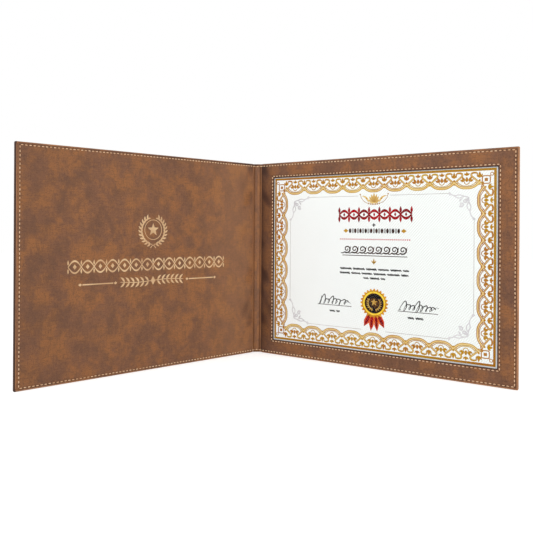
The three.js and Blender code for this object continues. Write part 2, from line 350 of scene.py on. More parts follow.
def windowRuns():
    away = opening["seamOffset"]
    left, right = windowEdges["left"] - away, windowEdges["right"] + away
    foot, top = windowEdges["foot"] - away, windowEdges["top"] + away
    corners = [(left, top), (right, top), (right, foot), (left, foot)]
    counts = (opening["longCount"], opening["shortCount"])
    return [(corners[i], corners[(i + 1) % 4], counts[i % 2]) for i in range(4)]


# Depth of the pressed channel: a bell across each run of the seam, deeper at the needle holes
def seamDent(x, z, runs):
    dent = np.zeros(np.broadcast(x, z).shape)
    for (x0, z0), (x1, z1), count in runs:
        length = math.hypot(x1 - x0, z1 - z0)
        ax, az = (x1 - x0) / length, (z1 - z0) / length
        along = (x - x0) * ax + (z - z0) * az
        off = (z - z0) * ax - (x - x0) * az
        past = np.maximum(np.maximum(-along, along - length), 0)
        hole = np.cos(np.pi * along * count / length) ** 6
        press = np.exp(-(off ** 2 + past ** 2) / seam["halfWidth"] ** 2)
        dent = np.maximum(dent, press * (seam["depth"] + seam["pucker"] * hole))
    return dent


# Outer skin: covers a panel's back, rolls round three edges and is turned in as a hem; it runs on over the
# crease to the middle of the spine. Its laps are given by their insets from the panel's edge
hem = 12.0  # how far the edge is turned in
skin = {
    "panelWrap": 3.8, "creaseWrap": 1.3, "spineWrap": 1.85, "roll": 1.5, "thickness": 0.86,
    "near": ((panel["midSpine"], -4.7, 7), (-4.4, -2.2, 13), (-1.9, 1.1, 13), (2.0, lap["freeFrom"], 22)),
    "face": (120.65, 112, 103, 94, 85, 76, 67, 58, 49, 40, 31, 23, 16, 11, 8, 6.2, 5.0, 4.4, 4.05, 3.75, 3.5,
             3.25, 3.0, 2.75, 2.45, 2.1, 1.8),
    # the rim lighter, rubbed and a painted highlight, then painted shade under the lining's cut edge
    "hemRubAndShade": ((1.5, 0.35), (1.65, 0.1), (1.8, -0.1), (2.12, -0.4), (2.4, -0.6), (4.0, 0), (hem, 0)),
    "hemInside": ((hem, 0), (6, 0), (2.4, 0), (1.2, 0.08), (0.9, 0.5), (1.2, 0.92)),
    "inside": (3, 8, 20, 60, 120.65),
    # Front cover: painted shade on the free end face, and rubbed wear with a painted highlight on the hem
    # there; back panel: darker along the top edge
    "endDark": 2.4, "endRubbedAndLit": 0.7, "topDark": 0.9,
}


def wrapDepth(x):  # how far the hem's face stands off the outer face
    onSpine = skin["spineWrap"] + (skin["creaseWrap"] - skin["spineWrap"]) * smooth((x + 5.4) / 0.9)
    return onSpine + (skin["panelWrap"] - skin["creaseWrap"]) * smooth((x + 0.8) / 1.3)


# Laps of the outer skin: inset, depth from the outer face, inset on the unfolded skin, and wear and painted
# light: the rolled edge is lighter, rubbed and a painted highlight, the hem darker under the lining's cut
# edge, painted shade
def skinLaps(wrap):
    roll = np.minimum(skin["roll"], wrap * 0.48)
    thick = np.minimum(skin["thickness"], wrap * 0.48)
    flank = wrap - 2 * roll  # the flat between the two rolls of an edge
    hemStart = roll * (1 - math.pi) - flank
    quarter = np.radians((0, 15, 30, 45, 60, 75, 90))
    laps = [(inset, 0, inset, 0) for inset in skin["face"]]
    for angle in quarter:
        sine, cosine = math.sin(angle), math.cos(angle)
        laps.append((roll * (1 - sine), roll * (1 - cosine), roll * (1 - angle), 0.25 + 0.75 * sine))
    laps.append((0, roll + flank / 2, roll * (1 - math.pi / 2) - flank / 2, 1))
    for angle in quarter:
        sine, cosine = math.sin(angle), math.cos(angle)
        unfolded = roll * (1 - math.pi / 2) - flank - roll * angle
        laps.append((roll * (1 - cosine), wrap - roll + roll * sine, unfolded, 1 - 0.5 * sine))
    for inset, wearAndShade in skin["hemRubAndShade"]:
        laps.append((inset, wrap, hemStart - (inset - roll), wearAndShade))
    for inset, share in skin["hemInside"]:  # the pattern's hidden parts lie apart from the rest
        laps.append((inset, wrap - thick - (wrap - 2 * thick) * share, hemStart - 20, 0))
    laps += [(inset, thick, inset - 300, 0) for inset in skin["inside"]]
    return np.moveaxis(np.array([[value + 0 * wrap for value in values] for values in laps]), 1, 0)


def outerSkin(side):
    width, height = panel["width"], panel["height"]
    nearX = np.concatenate([np.linspace(*span) for span in skin["near"]])
    edgeX, edgeZ = rails(np.zeros((1, halfLap(nearX))), nearX)
    wrap = wrapDepth(edgeX[0])
    insets, depths, unfolded, wearAndShade = skinLaps(wrap)
    x, z = rails(insets, nearX)
    patternX, patternZ = rails(unfolded, nearX)
    onFace = (np.arange(len(insets)) < len(skin["face"]))[:, None]
    dent = seamDent(x, z, panelRuns(side) + spineRuns) * onFace
    fromCorner = np.abs(edgeX[0] - width) + np.minimum(edgeZ, height - edgeZ)[0]
    mitre = 0.14 * bell((fromCorner - 1.3) / 0.35) * (depths > wrap - 0.9) * (insets < 2.3)
    depths = depths + dent + 0.05 * (1 + ripple(x, z, 2.0)) * onFace * smooth((insets - 4) / 12) - mitre
    # Painted shade in the seam channel; the rubbed, lit edges vary a little at random
    wearAndShade = wearAndShade - 1.3 * dent + 0.25 * ripple(x, z, 5.0) * (wearAndShade > 0.3)
    if side == "front":
        # The cover's free end face is darkened with painted shade, and its hem at the free end is lightened,
        # rubbed wear and a painted highlight. Its top edge is darker too, more so toward the crease
        wearAndShade = wearAndShade - skin["endDark"] * smooth((x - width + 1.8) / 0.5) * ((depths > 0.5) & (depths < 3.75))
        wearAndShade = wearAndShade + skin["endRubbedAndLit"] * smooth((x - width + 3.2) / 0.4) * (depths > 3.76)
        along = 0.4 + 0.6 * (1 - smooth(x / 220.0))
        wearAndShade = wearAndShade - along * smooth((z - height + 2.5) / 0.6) * (insets < 2.5) * (x < width - 2.5)
    else:
        wearAndShade = wearAndShade - skin["topDark"] * smooth((z - height + 1.6) / 0.8) * (insets < 1.6) * (x < width - 1.5)
    points = place(stack(x, panel["thickness"] - depths, z), side)
    across = 2 * panel["midSpine"] - patternX if side == "front" else patternX
    return addLeather(side + "_outer_skin", points, stack(across, patternZ, 0), wearAndShade, outerLeather)


# Inner lining: its cut edge leaves the rim bare; at the spine it turns down into the crease, crosses the
# valley and climbs onto the spine, to its middle. A lap has an inset and a share of the lining's thickness
valley = {"floor": 3.1, "endFloor": 2.9, "endFrom": 10.0, "endTo": 15.0, "fineness": 0.3}
leafThickness = {"least": 0.1, "more": 0.76}  # the leatherette thins where it turns down into the crease


def atDepth(share, *insets):  # laps that lie at one share of the thickness
    return [(inset, share) for inset in insets]


liningLaps = atDepth(
    0, 120.65, 112, 103, 94, 85, 76, 67, 58, 50, 43, 37, 32, 28, 24, 20, 17, 14, 12, 10, 8.2, 6.8, 5.8, 5.1,
    4.6, 4.2, 3.9, 3.6, 3.25, 2.95, 2.7, 2.5, 2.38)
liningLaps += [(2.28, 0.07), (2.21, 0.2), (2.2, 0.4), (2.2, 0.8), *atDepth(1, 2.3, 6, 16, 60, 120.65)]
cutEdge = [(0.0, 0.8), (0.0, 0.4), (0.02, 0.2), (0.08, 0.07)]  # from below the face up to it


def cutCorners(line, times):  # a smooth line near some points: each corner is cut again and again
    line = np.array(line, float)
    for _ in range(times):
        near, far = line[:-1] * 0.75 + line[1:] * 0.25, line[:-1] * 0.25 + line[1:] * 0.75
        line = np.concatenate([line[:1], np.stack([near, far], 1).reshape(-1, 2), line[-1:]])
    return line


# Crease profile from the middle of the spine, down into the valley and on to some last points, in even steps
def creaseProfile(lastPoints):
    face = panel["spineFace"]
    spine = [(panel["midSpine"], face), (-5.3, face - 0.1), (-4.1, valley["floor"])]
    line = cutCorners(spine + lastPoints, 3)
    step = np.concatenate([[0], np.cumsum(np.hypot(*np.diff(line, axis=0).T))])
    at = np.linspace(0, step[-1], int(step[-1] / valley["fineness"]))
    return np.stack([np.interp(at, step, line[:, 0]), np.interp(at, step, line[:, 1])], -1), at


def endFloor(depth, inset):  # the valley is shallower over the hems at its two ends
    share = smooth((inset - valley["endFrom"]) / (valley["endTo"] - valley["endFrom"]))
    return np.minimum(depth, valley["endFloor"] + (valley["floor"] - valley["endFloor"]) * share)


# Normal of a profile by its step, pointing out of the leatherette's face
def profileNormal(line):
    step = np.gradient(line, axis=0)
    return np.stack([step[:, 1], -step[:, 0]], -1) / np.hypot(*step.T)[:, None]


def waviness(x, z, inset):  # how the pasted lining swells away from its edges
    return 0.05 * (1 + ripple(x, z, 0.7)) * smooth((inset - 6) / 14) * smooth((x - 6) / 14)


def creaseSmudge(x, z):  # dark patches by the crease
    return np.maximum(ripple(2.2 * x, 1.7 * z, 4.0) - 0.1, 0) * (1 - smooth(x / 26.0))


def frontLining():
    line, at = creaseProfile([(-1.0, valley["floor"]), (0.1, 0.0), (6.0, 0.0)])
    nearX = np.concatenate([line[:, 0], np.linspace(line[-1, 0], lap["freeFrom"], 19)[1:]])
    near, total = len(nearX), 2 * halfLap(nearX) - 1
    flat = near - len(line)
    nearDepth = np.concatenate([line[:, 1], np.zeros(flat)])
    normal = np.concatenate([profileNormal(line), np.tile([0.0, -1.0], (flat, 1))])
    far = total - 2 * near
    base = np.concatenate([nearDepth, np.zeros(far), nearDepth[::-1]])
    lean = np.concatenate([normal, np.tile([0.0, -1.0], (far, 1)), normal[::-1]])
    thick = leafThickness["least"] + leafThickness["more"] * (1 - smooth(base / 3.2))
    insets, share = (np.array(values)[:, None] for values in zip(*liningLaps))
    insets = np.repeat(insets, total, 1)
    onFace = share == 0
    x, z = rails(insets, nearX)
    dent = seamDent(x, z, panelRuns("front") + spineRuns) * (1 - smooth(share * 3))
    pillow = 0.05 * bell((insets - 5.4) / 1.3) * onFace
    edge = 0.1 * bell((insets - 2.2) / 0.5) * (1 - share)
    down = share * thick
    depth = endFloor(base[None], insets) + dent + (edge - pillow) * (base < 0.05)
    depth = depth + waviness(x, z, insets) * onFace - down * lean[:, 1]
    points = place(stack(x - down * lean[:, 0], depth, z), "front")
    patternX = x.copy()
    patternX[:, :near] = np.concatenate([at - at[-1] + line[-1, 0], nearX[len(at):]])
    patternX[:, -near:] = patternX[:, near - 1::-1]
    # Wear and painted light: painted shade in the seam channel and on and along the cut edge, and dark
    # smudges;
    # painted light in the valley to lift its shade; lighter on its brink, on the spine and at the free end;
    # and painted light near the crease, fading to darker toward the free end
    wearAndShade = -(0.65 + 0.6 * (1 - smooth(x / 170.0))) * dent + 0.55 * smooth((base - 1.7) / 1.1) * (x > -6)
    wearAndShade = wearAndShade - 0.8 * smooth(share * 4) - 0.1 * bell((insets - 2.3) / 0.25)
    wearAndShade = wearAndShade + 0.4 * smooth((x - panel["width"] + 3.6) / 0.6) + 0.3 * bell((x - 0.6) / 0.8) * (base < 0.9)
    wearAndShade = wearAndShade + (0.3 * (1 - smooth((x - 20) / 110)) * (x > 0.5) - 0.2 * smooth((x - 190) / 90)) * onFace
    wearAndShade = wearAndShade + (0.15 * (x < -5.6) - 0.6 * creaseSmudge(x, z) * (x > 1.5)) * onFace
    return addLeather("front_inner_lining", points, stack(-patternX, z, 60), wearAndShade, innerLeather)


# Strip that carries the lining over the back crease: it starts on the back panel's end, under the pocket's
# mouth, crosses the valley and climbs onto the spine, to its middle
def creaseStrip():
    line, at = creaseProfile([(-0.9, valley["floor"]), (-0.15, 2.6), (-0.06, 1.8)])
    normal = profileNormal(line)
    foot, top = panel["rim"], panel["height"] - panel["rim"]
    ends = cutEdge + atDepth(0, 0.18, 0.3, 0.5, 0.75, 1.05, 1.4, 1.7, 2.0, 2.4, 3.0, 3.8, 4.8)
    rows = [(foot + inset, share) for inset, share in ends]
    rows += atDepth(0, *np.linspace(foot + 6, top - 6, 48))
    rows += [(top - inset, share) for inset, share in ends[::-1]]
    rows += atDepth(1, top - 0.1, top - 14, foot + 14, foot + 0.1)
    z, share = (np.array(values)[:, None] for values in zip(*rows))
    z = z + 0 * at
    x = line[:, 0] + 0 * z
    onFace = share == 0
    dent = seamDent(x, z, spineRuns) * onFace * (x < -6)
    thinner = smooth((line[:, 1] - panel["spineFace"]) / 1.3)
    down = share * (leafThickness["least"] + leafThickness["more"] * (1 - thinner))
    depth = endFloor(line[:, 1], np.minimum(z, panel["height"] - z)) + dent - down * normal[:, 1]
    points = place(stack(x - down * normal[:, 0], depth, z), "back")
    # Painted shade in the seam channel, painted light in the valley to lift its shade, and lighter on the
    # spine
    wearAndShade = -0.65 * dent + 0.55 * smooth((line[:, 1] - 1.7) / 1.1) + 0.15 * (x < -5.6) * onFace
    pattern = stack(at - at[-1] + 0 * z, z, 60)
    return addLeather("back_crease_strip", points, pattern, wearAndShade, innerLeather, True)


# Window frame: laps between the facing's outer outline and the window's, closed all round; the pocket's mouth
# at the spine side sags a little. A lap has an inset and a share of the facing's thickness
frameLap = {
    "long": 286, "short": 224, "corner": 6, "between": 4, "thickness": 0.86,
    "outer": [(0.1, 1.0)] + cutEdge + atDepth(0, 0.2, 0.35, 0.55, 0.8, 1.05, 1.35, 1.65, 2.0, 2.5, 3.2, 4.2),
    "inner": atDepth(0, 4.6, 4.0, 3.6, 3.2, 2.9, 2.6, 2.3, 2.0, 1.6, 1.1, 0.6, 0.3) + [
        (0.1, 0.06), (0.02, 0.2), (0.0, 0.4), (0.0, 0.8), (0.1, 1.0)],
}


# Lap of a rounded rectangle, from its top left corner clockwise: each side, then the corner after it. Each
# keeps its share of points, so that laps join into a face
def boxLap(x0, x1, z0, z1, radius):
    turn = np.radians(np.linspace(0, 90, frameLap["corner"] + 2)[1:-1])
    x0, x1, z0, z1, radius = (np.asarray(v, float)[:, None] for v in (x0, x1, z0, z1, radius))
    left, right, foot, top = x0 + radius, x1 - radius, z0 + radius, z1 - radius
    centres = ((left, top), (right, top), (right, foot), (left, foot))
    outward = ((0, 1), (1, 0), (0, -1), (-1, 0))
    lapX, lapZ = [], []
    for i in range(4):
        share = np.linspace(0, 1, frameLap["short" if i % 2 else "long"] + 1)
        for run, near, far, out, onward in zip((lapX, lapZ), centres[i], centres[(i + 1) % 4],
                                               outward[i], outward[(i + 1) % 4]):
            run.append(near + (far - near) * share + radius * out)
            run.append(far + radius * (out * np.cos(turn) + onward * np.sin(turn)))
    return np.concatenate(lapX, 1), np.concatenate(lapZ, 1)


def windowFrame():
    width, tall, rim = panel["width"], panel["height"], panel["rim"]
    left, right, foot, top = (windowEdges[key] for key in ("left", "right", "foot", "top"))
    o, outerShare = (np.array(values) for values in zip(*frameLap["outer"]))
    i, innerShare = (np.array(values) for values in zip(*frameLap["inner"]))
    ox, oz = boxLap(o, width - rim - o, rim + o, tall - rim - o, np.maximum(1.2 - o, 0.3))
    ix, iz = boxLap(left - i, right + i, foot - i, top + i, 0.8 + i)
    between = np.linspace(0, 1, frameLap["between"] + 2)[1:-1, None]
    x = np.concatenate([ox, ox[-1] + (ix[0] - ox[-1]) * between, ix])
    z = np.concatenate([oz, oz[-1] + (iz[0] - oz[-1]) * between, iz])
    share = np.concatenate([outerShare, np.zeros(frameLap["between"]), innerShare])[:, None]
    fromEnds = np.minimum(z, tall - z)
    toWindow = np.maximum.reduce([left - x, x - right, foot - z, z - top])
    offWindow = np.maximum(toWindow, 0)
    dent = seamDent(x, z, panelRuns("back") + windowRuns()) * (1 - smooth(share * 3))
    sag = 0.05 * (1 - smooth(x / 3.0)) + 0.33 * (1 - smooth(x / 8.0)) * smooth((fromEnds - 12) / 12)
    rimmed = 0.08 * np.exp(-offWindow / 0.5) - 0.05 * bell((toWindow - 4.6) / 1.2)
    edge = 0.1 * bell(np.minimum.reduce([z - rim, tall - rim - z, width - rim - x]) / 0.5)
    raised = dent + rimmed + edge + 0.04 + 0.04 * ripple(x, z, 3.1)
    depth = share * frameLap["thickness"] + raised * (1 - share) + sag
    points = place(stack(x, depth, z), "back")
    # Wear and painted shade: painted shade in the seams, most near the crease's two ends, on the cut edges,
    # along the window's lip and toward the crease and the pocket's mouth; dark smudges; and a little darker
    # all over, within a few millimetres of the window and at the free side
    nearEnds = (1 - smooth(x / 170.0)) * (fromEnds < 18)
    wearAndShade = -(0.65 + 0.8 * nearEnds) * dent - 1.1 * smooth(share * 4) - 1.6 * bell(offWindow / 0.62)
    wearAndShade = wearAndShade - 0.6 * creaseSmudge(x, z) - 0.16 - 0.4 * (1 - smooth(x / 26.0)) - 0.2 * (1 - smooth(x / 6.0))
    wearAndShade = wearAndShade - 0.16 * np.exp(-offWindow / 4.0) - 0.07 * smooth((x - width + 22.0) / 6.0)
    return addLeather("window_frame", points, stack(x, z, 130), wearAndShade, innerLeather, True, True)


backSkin, frontSkin = outerSkin("back"), outerSkin("front")
lining, strip, window = frontLining(), creaseStrip(), windowFrame()
print("leatherette pieces made")

# Sewing thread: short capsules, thick in the middle and diving into the needle holes
thread = {
    "halfWidth": 0.52, "halfHeight": 0.35, "share": 0.69, "jitter": 0.06, "along": 9, "around": 8,
    "channel": 0.26, "windowChannel": 0.3, "light": colour(226, 189, 152), "dark": colour(200, 154, 113),
    # the lighter thread near the creases is painted light
    "fibre": colour(150, 105, 70), "litByCrease": colour(244, 208, 165), "litByCreaseAt": (-0.117, 0.15),
    "litByCreaseReach": 0.24,
}


def threadMaterial():
    r = Recipe("sewing_thread")
    at = r.objectPlace()
    tone = r.noise(at, 160, 2.0)
    fibres = r.noise(at, 2600, 2.0)
    shade = r.tint(r.mask(tone, 0.35, 0.65), thread["light"], thread["dark"])
    off = [r.add("SeparateXYZ", {}, {0: at}, out=axis) - thread["litByCreaseAt"][axis] for axis in (0, 1)]
    away = (off[0] ** 2.0 + off[1] ** 2.0) ** 0.5
    # Painted light: the thread is lighter near the creases
    shade = r.tint(r.mask(away, thread["litByCreaseReach"], 0.0) * 0.9, shade, thread["litByCrease"])  # by the creases
    shade = r.tint(r.mask(fibres, 0.45, 0.75) * 0.35, shade, thread["fibre"])
    normal = r.bump(fibres, 0.05 * mm, 0.6)
    return r.surface({"Base Color": shade, "Roughness": 0.45 + 0.2 * fibres, "Normal": normal})


threadFinish = threadMaterial()


# Points along each stitch of some runs, in flat coordinates: even shares of the run, each a little off true
def stitchLines(runs, depth):
    lines = []
    t = np.linspace(0, 1, thread["along"])
    gap = (1 - thread["share"]) / 2
    for (x0, z0), (x1, z1), count in runs:
        start, way = np.array([x0, z0]), np.array([x1 - x0, z1 - z0])
        at = (np.arange(count)[:, None] + gap + (1 - 2 * gap) * t) / count
        square = np.array([-way[1], way[0]]) / np.hypot(*way)
        off = random.normal(0, thread["jitter"], (count, 2))
        lean = off[:, :1] * (1 - t) + off[:, 1:] * t
        flat = start + way * at[..., None] + square * lean[..., None]
        lines.append(stack(flat[..., 0], depth, flat[..., 1]))
    return np.concatenate(lines)


# Tubes round the stitches' lines: an ellipse whose size falls to nothing at both ends, lifted out of the
# channel in the middle
def threadTubes(lines, normals, lift):
    s = np.linspace(-1, 1, lines.shape[1])
    swell = np.sqrt(np.clip(1 - np.abs(s) ** 2.6, 0, 1))
    tangent = np.gradient(lines, axis=1)
    tangent /= np.linalg.norm(tangent, axis=-1, keepdims=True)
    across = np.cross(tangent, normals)
    centre = lines + normals * (lift - 0.3 * np.abs(s) ** 5)[None, :, None]
    angle = np.linspace(0, 2 * np.pi, thread["around"], endpoint=False)
    ring = (across[:, :, None] * (thread["halfWidth"] * np.cos(angle))[None, None, :, None]
            + normals[:, :, None] * (thread["halfHeight"] * np.sin(angle))[None, None, :, None])
    return centre[:, :, None] + ring * swell[None, :, None, None]


def facingOut(lines, side, way):  # unit vectors out of the inner (-1) or the outer (1) face
    out = place(lines + np.array([0.0, 0.1 * way, 0.0]), side) - place(lines, side)
    return out / np.linalg.norm(out, axis=-1, keepdims=True)


def addThread(name, tubes):
    points = np.concatenate(tubes)
    count, along, ring = points.shape[:3]
    faces = quads(along, ring, wrapCols=True) + np.arange(count)[:, None, None] * along * ring
    faces = faces.reshape(-1, 4)
    return addPiece(name, points, faces, threadFinish)


# One long stitch bridges the crease on each face: straight in the air over the valley, and flat outside
def creaseStitches(side, level):
    t = np.linspace(0.04, 0.96, thread["along"])[:, None]
    holes = np.array([[seam["creaseHole"], 0.1, level], [seam["spineHole"], panel["spineFace"] + 0.1, level]])
    ends, out = place(holes, side), facingOut(holes, side, -1)
    line, normal = (pair[0] * (1 - t) + pair[1] * t for pair in (ends, out))
    normal /= np.linalg.norm(normal, axis=-1, keepdims=True)
    flat = holes[0] * (1 - t) + holes[1] * t
    flat[:, 1] = panel["thickness"] - 0.16
    return [threadTubes(line[None], normal[None], 0.2),
            threadTubes(place(flat, side)[None], facingOut(flat, side, 1)[None], 0.1)]


def seamThread(side):
    tubes = []
    runs = panelRuns(side) + (spineRuns if side == "back" else [])
    for face, way, lift in ((thread["channel"], -1, 0.12), (panel["thickness"] - thread["channel"], 1, 0.1)):
        lines = stitchLines(runs, face)
        if way < 0:  # on the spine the lining lies deeper than on the panel
            lines[..., 1] += panel["spineFace"] * (lines[..., 0] < panel["creaseLine"])
        tubes.append(threadTubes(place(lines, side), facingOut(lines, side, way), lift))
    for level in (high, low):
        tubes += creaseStitches(side, level)
    return addThread(side + "_seam_thread", tubes)


def windowThread():
    lines = stitchLines(windowRuns(), thread["windowChannel"])
    tubes = threadTubes(place(lines, "back"), facingOut(lines, "back", -1), 0.12)
    return addThread("window_seam_thread", [tubes])


backThread, frontThread, frameThread = seamThread("back"), seamThread("front"), windowThread()
print("thread sewn")

bending = {"back": (backSkin, strip, backThread), "front": (frontSkin, lining, frontThread)}
for side, (outer, *within) in bending.items():
    bendAcross(outer, side)
    for piece in within:
        bendAcross(piece, side)
for piece in (window, frameThread):
    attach(piece, "back_panel")
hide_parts("back_outer_cover", "spine_outer_cover")
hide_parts("front_outer_cover", "spine_outer_cover")
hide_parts("front_lining", "spine_lining")
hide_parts("spine_lining")
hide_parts("window_facing")


# Finishes of the solids that stay: boards, papers and the clear sheet
def cardMaterial():
    r = Recipe("grey_card")
    at = r.objectPlace()
    fibres = r.noise(r.stretch(at, (1, 1, 0.2)), 900, 4.0, 0.6)
    flecks = r.noise(at, 420, 3.0, 0.7)
    shade = r.tint(fibres, colour(118, 112, 102), colour(160, 153, 140))
    shade = r.tint(r.mask(flecks, 0.62, 0.72) * 0.6, shade, colour(84, 78, 70))
    normal = r.bump(fibres, 0.06 * mm)
    return r.surface({"Base Color": shade, "Roughness": 0.85 + 0.1 * fibres, "Normal": normal})


def pocketMaterial():
    r = Recipe("pocket_paper")
    fibres = r.noise(r.stretch(r.objectPlace(), (1, 1, 0.4)), 700, 3.0, 0.6)
    shade = r.tint(fibres, colour(34, 29, 26), colour(58, 50, 44))
    normal = r.bump(fibres, 0.04 * mm)
    return r.surface({"Base Color": shade, "Roughness": 0.8 + 0.15 * fibres, "Normal": normal})


paper = {
    "light": colour(250, 254, 253), "shade": colour(243, 248, 247), "line": colour(219, 226, 217),
    "rings": (((-0.12, 0.15, 0.36), 2.3), ((0.34, 0.15, -0.05), 2.2)), "faintFrom": -0.03, "fullFrom": 0.09,
}


# Paper with a security tint: fine pale rings spread from two far centres and cross each other, and they are
# faint at the spine side
def paperMaterial():
    r = Recipe("certificate_paper")
    at = r.objectPlace()
    fibres = r.noise(at, 1100, 3.0, 0.55)
    waves = []
    for centre, spacing in paper["rings"]:
        away = r.add("VectorMath", {"operation": "DISTANCE"}, {0: at, 1: centre}, out="Value")
        wave = r.add("Math", {"operation": "SINE"}, {0: away * (2 * math.pi / (spacing * mm))})
        waves.append(r.mask(wave, 0.55, 0.95))
    across = r.add("SeparateXYZ", {}, {0: at})
    strength = 0.12 + 0.38 * r.mask(across, paper["faintFrom"], paper["fullFrom"])
    shade = r.tint(fibres * 0.2, paper["light"], paper["shade"])
    shade = r.tint((waves[0] + waves[1]) * strength, shade, paper["line"])
    normal = r.bump(fibres, 0.02 * mm, 0.5)
    return r.surface({"Base Color": shade, "Roughness": 0.7 + 0.15 * fibres, "Normal": normal})


def clearMaterial():
    r = Recipe("clear_plastic")
    smear = r.noise(r.objectPlace(), 28, 3.0, 0.6)
    return r.surface({"Base Color": (0.3, 0.31, 0.32, 1), "Roughness": 0.12 + 0.12 * smear,
                      "Alpha": 0.012 + 0.014 * smear, "IOR": 1.46})


card = cardMaterial()
finishes = {
    "back_board": card, "front_board": card, "front_filler_sheet": card, "spine_board": card,
    "pocket_lining": pocketMaterial(), "certificate": paperMaterial(), "clear_sheet": clearMaterial(),
}
for name, finish in finishes.items():
    for materialSlot in frame["nodes"][name].material_slots:
        materialSlot.material = finish
print("solids finished")


# Flat ornament: nearly all that is drawn is a ribbon along a line. Its width may change on the way, so
# leaves, drops and discs are ribbons that close at both ends
def ribbon(line, width, closed=False):
    line = np.asarray(line, float)
    way = np.roll(line, -1, -2) - np.roll(line, 1, -2) if closed else np.gradient(line, axis=-2)
    way = way / np.maximum(np.linalg.norm(way, axis=-1, keepdims=True), 1e-9)
    half = np.broadcast_to(width, line.shape[:-1])[..., None] / 2
    square = np.stack([-way[..., 1], way[..., 0]], -1) * half
    return np.stack([line + square, line - square], -2)


def straight(x0, z0, x1, z1, width):
    return ribbon([(x0, z0), (x1, z1)], width)


def band(centre, half, width):  # a rectangle's line, mitred at its corners
    corners = np.array([(-1, 1), (1, 1), (1, -1), (-1, -1)])
    edges = [np.array(centre) + corners * (np.array(half) + side * width / 2) for side in (1, -1)]
    return np.stack(edges, 1)


def leaf(root, tip, width, bend=0.0):  # widest part way, and bowed to one side by a share of its length
    t = np.linspace(0, 1, 11)[:, None]
    root, way = np.asarray(root, float), np.subtract(tip, root)
    line = root + way * t + np.array([-way[1], way[0]]) * bend * 4 * t * (1 - t)
    return ribbon(line, width * np.sin(np.pi * t[:, 0] ** 0.8))


def disc(x, z, radius, flat=1.0):
    a = np.linspace(0, np.pi, 13)
    line = np.stack([x - radius * np.cos(a), z + 0 * a], -1)
    return ribbon(line, 2 * flat * radius * np.sin(a))


def lozenge(x, z, length, height):
    return ribbon([(x - length / 2, z), (x, z), (x + length / 2, z)], np.array([0, height, 0]))


def around(x, z, reach, angle):  # points at some reach from a centre
    return np.stack([x + reach * np.cos(angle), z + reach * np.sin(angle)], -1)


def loop(x, z, radius, width, power=2.0):  # a ring, or a rounded square with a higher power
    a = np.linspace(0, 2 * np.pi, 40, endpoint=False)
    reach = radius * (np.abs(np.cos(a)) ** power + np.abs(np.sin(a)) ** power) ** (-1 / power)
    return ribbon(around(x, z, reach, a), width, closed=True)


def spiral(x, z, radius, turns, start, width, way=1):  # winds in from its start angle, thinning out
    t = np.linspace(0, 1, int(18 * turns) + 4)
    a = math.radians(start) + way * 2 * np.pi * turns * t
    return ribbon(around(x, z, radius * (1 - 0.86 * t), a), width * (1 - 0.45 * t))


def flowing(points, width, taper=0.0):  # a smooth line near some points
    line = cutCorners(points, 4)
    return ribbon(line, width * (1 - taper * np.abs(np.linspace(-1, 1, len(line))) ** 3))


def star(x, z, outer, inner, points=5):
    a = np.pi / 2 + np.arange(2 * points + 1) * np.pi / points
    rim = around(x, z, np.where(np.arange(2 * points + 1) % 2, inner, outer), a)
    return np.stack([np.broadcast_to([x, z], rim.shape), rim], -2)


# Two sprays of leaves that climb a circle from its foot, one each way
def laurel(x, z, radius, count, step, leans, width):
    leaves = []
    for i in range(count):
        for way in (-1, 1):
            turn = math.radians(-90 + way * (14 + step * i))
            root = around(x, z, radius, turn)
            leaves += [leaf(root, around(*root, length, turn + way * lean), width) for lean, length in leans]
    return leaves


def turned(shape, x, z, angle):
    c, s = math.cos(math.radians(angle)), math.sin(math.radians(angle))
    return shape @ np.array([[c, s], [-s, c]]) + np.array([x, z])


# Shapes of one ink. Each call lies a step further off the face, or at a level over the first one, and the
# copies in a stack of shapes differ a hair too
layer = {"first": 0.006, "step": 0.0028, "hair": 0.0009}


class Artwork:
    def __init__(self, name, ink, first=layer["first"]):
        self.name, self.ink = name, ink
        self.points, self.faces, self.count = [], [], 0
        self.first = self.lift = first

    def draw(self, *shapes, closed=False, level=None, step=layer["step"]):
        if level is not None:
            self.lift = self.first + level
        for shape in shapes:
            shape = shape.reshape(-1, *shape.shape[-3:])
            copies, rows, cols = shape.shape[:3]
            lift = self.lift + layer["hair"] * (np.arange(copies)[:, None, None, None] % 3)
            height = np.broadcast_to(lift, (copies, rows, cols, 1))
            self.points.append(np.concatenate([shape, height], -1).reshape(-1, 3))
            starts = self.count + np.arange(copies)[:, None, None] * rows * cols
            self.faces.append((quads(rows, cols, wrapRows=closed) + starts).reshape(-1, 4))
            self.count += copies * rows * cols
        self.lift += step

    def lay(self, side, face):
        x, z, lift = np.concatenate(self.points).T
        points, faces = place(stack(x, face(x, z) - lift, z), side), np.concatenate(self.faces)
        facing = np.array([*-sides[side]["depth"], 0.0])
        return addPiece(self.name, points, faces, inks[self.ink], closed=False, facing=facing)


# Braid: two strands that cross, a lozenge in each eye, and pointed leaves over and under each crossing
def braid(art, x, z, design):
    eyes, eye = design["eyes"], design["eye"]
    t = np.linspace(-0.5, 0.5, design["points"])
    swell = np.cos(np.pi * t)
    for i in range(eyes):
        middle = x + (i - (eyes - 1) / 2) * eye
        for order, way in enumerate((1, -1) if i % 2 else (-1, 1)):
            line = np.stack([middle + t * eye, z + way * design["tall"] * swell], -1)
            width = design["strand"][0] + design["strand"][1] * swell ** 2
            art.draw(ribbon(line, width), level=order * design["over"])
        art.draw(lozenge(middle, z, *design["lozenge"]), level=2 * design["over"])
    near, far, width = design["leaf"]
    for i in range(eyes + 1):
        at = x + (i - eyes / 2) * eye
        for way in (-1, 1):
            blade = leaf((at, z + way * near), (at, z + way * far), width)
            beads = [disc(at, z + way * 1.2, radius) for radius in design["beads"]]
            art.draw(blade, *beads, level=design["leafLevel"])


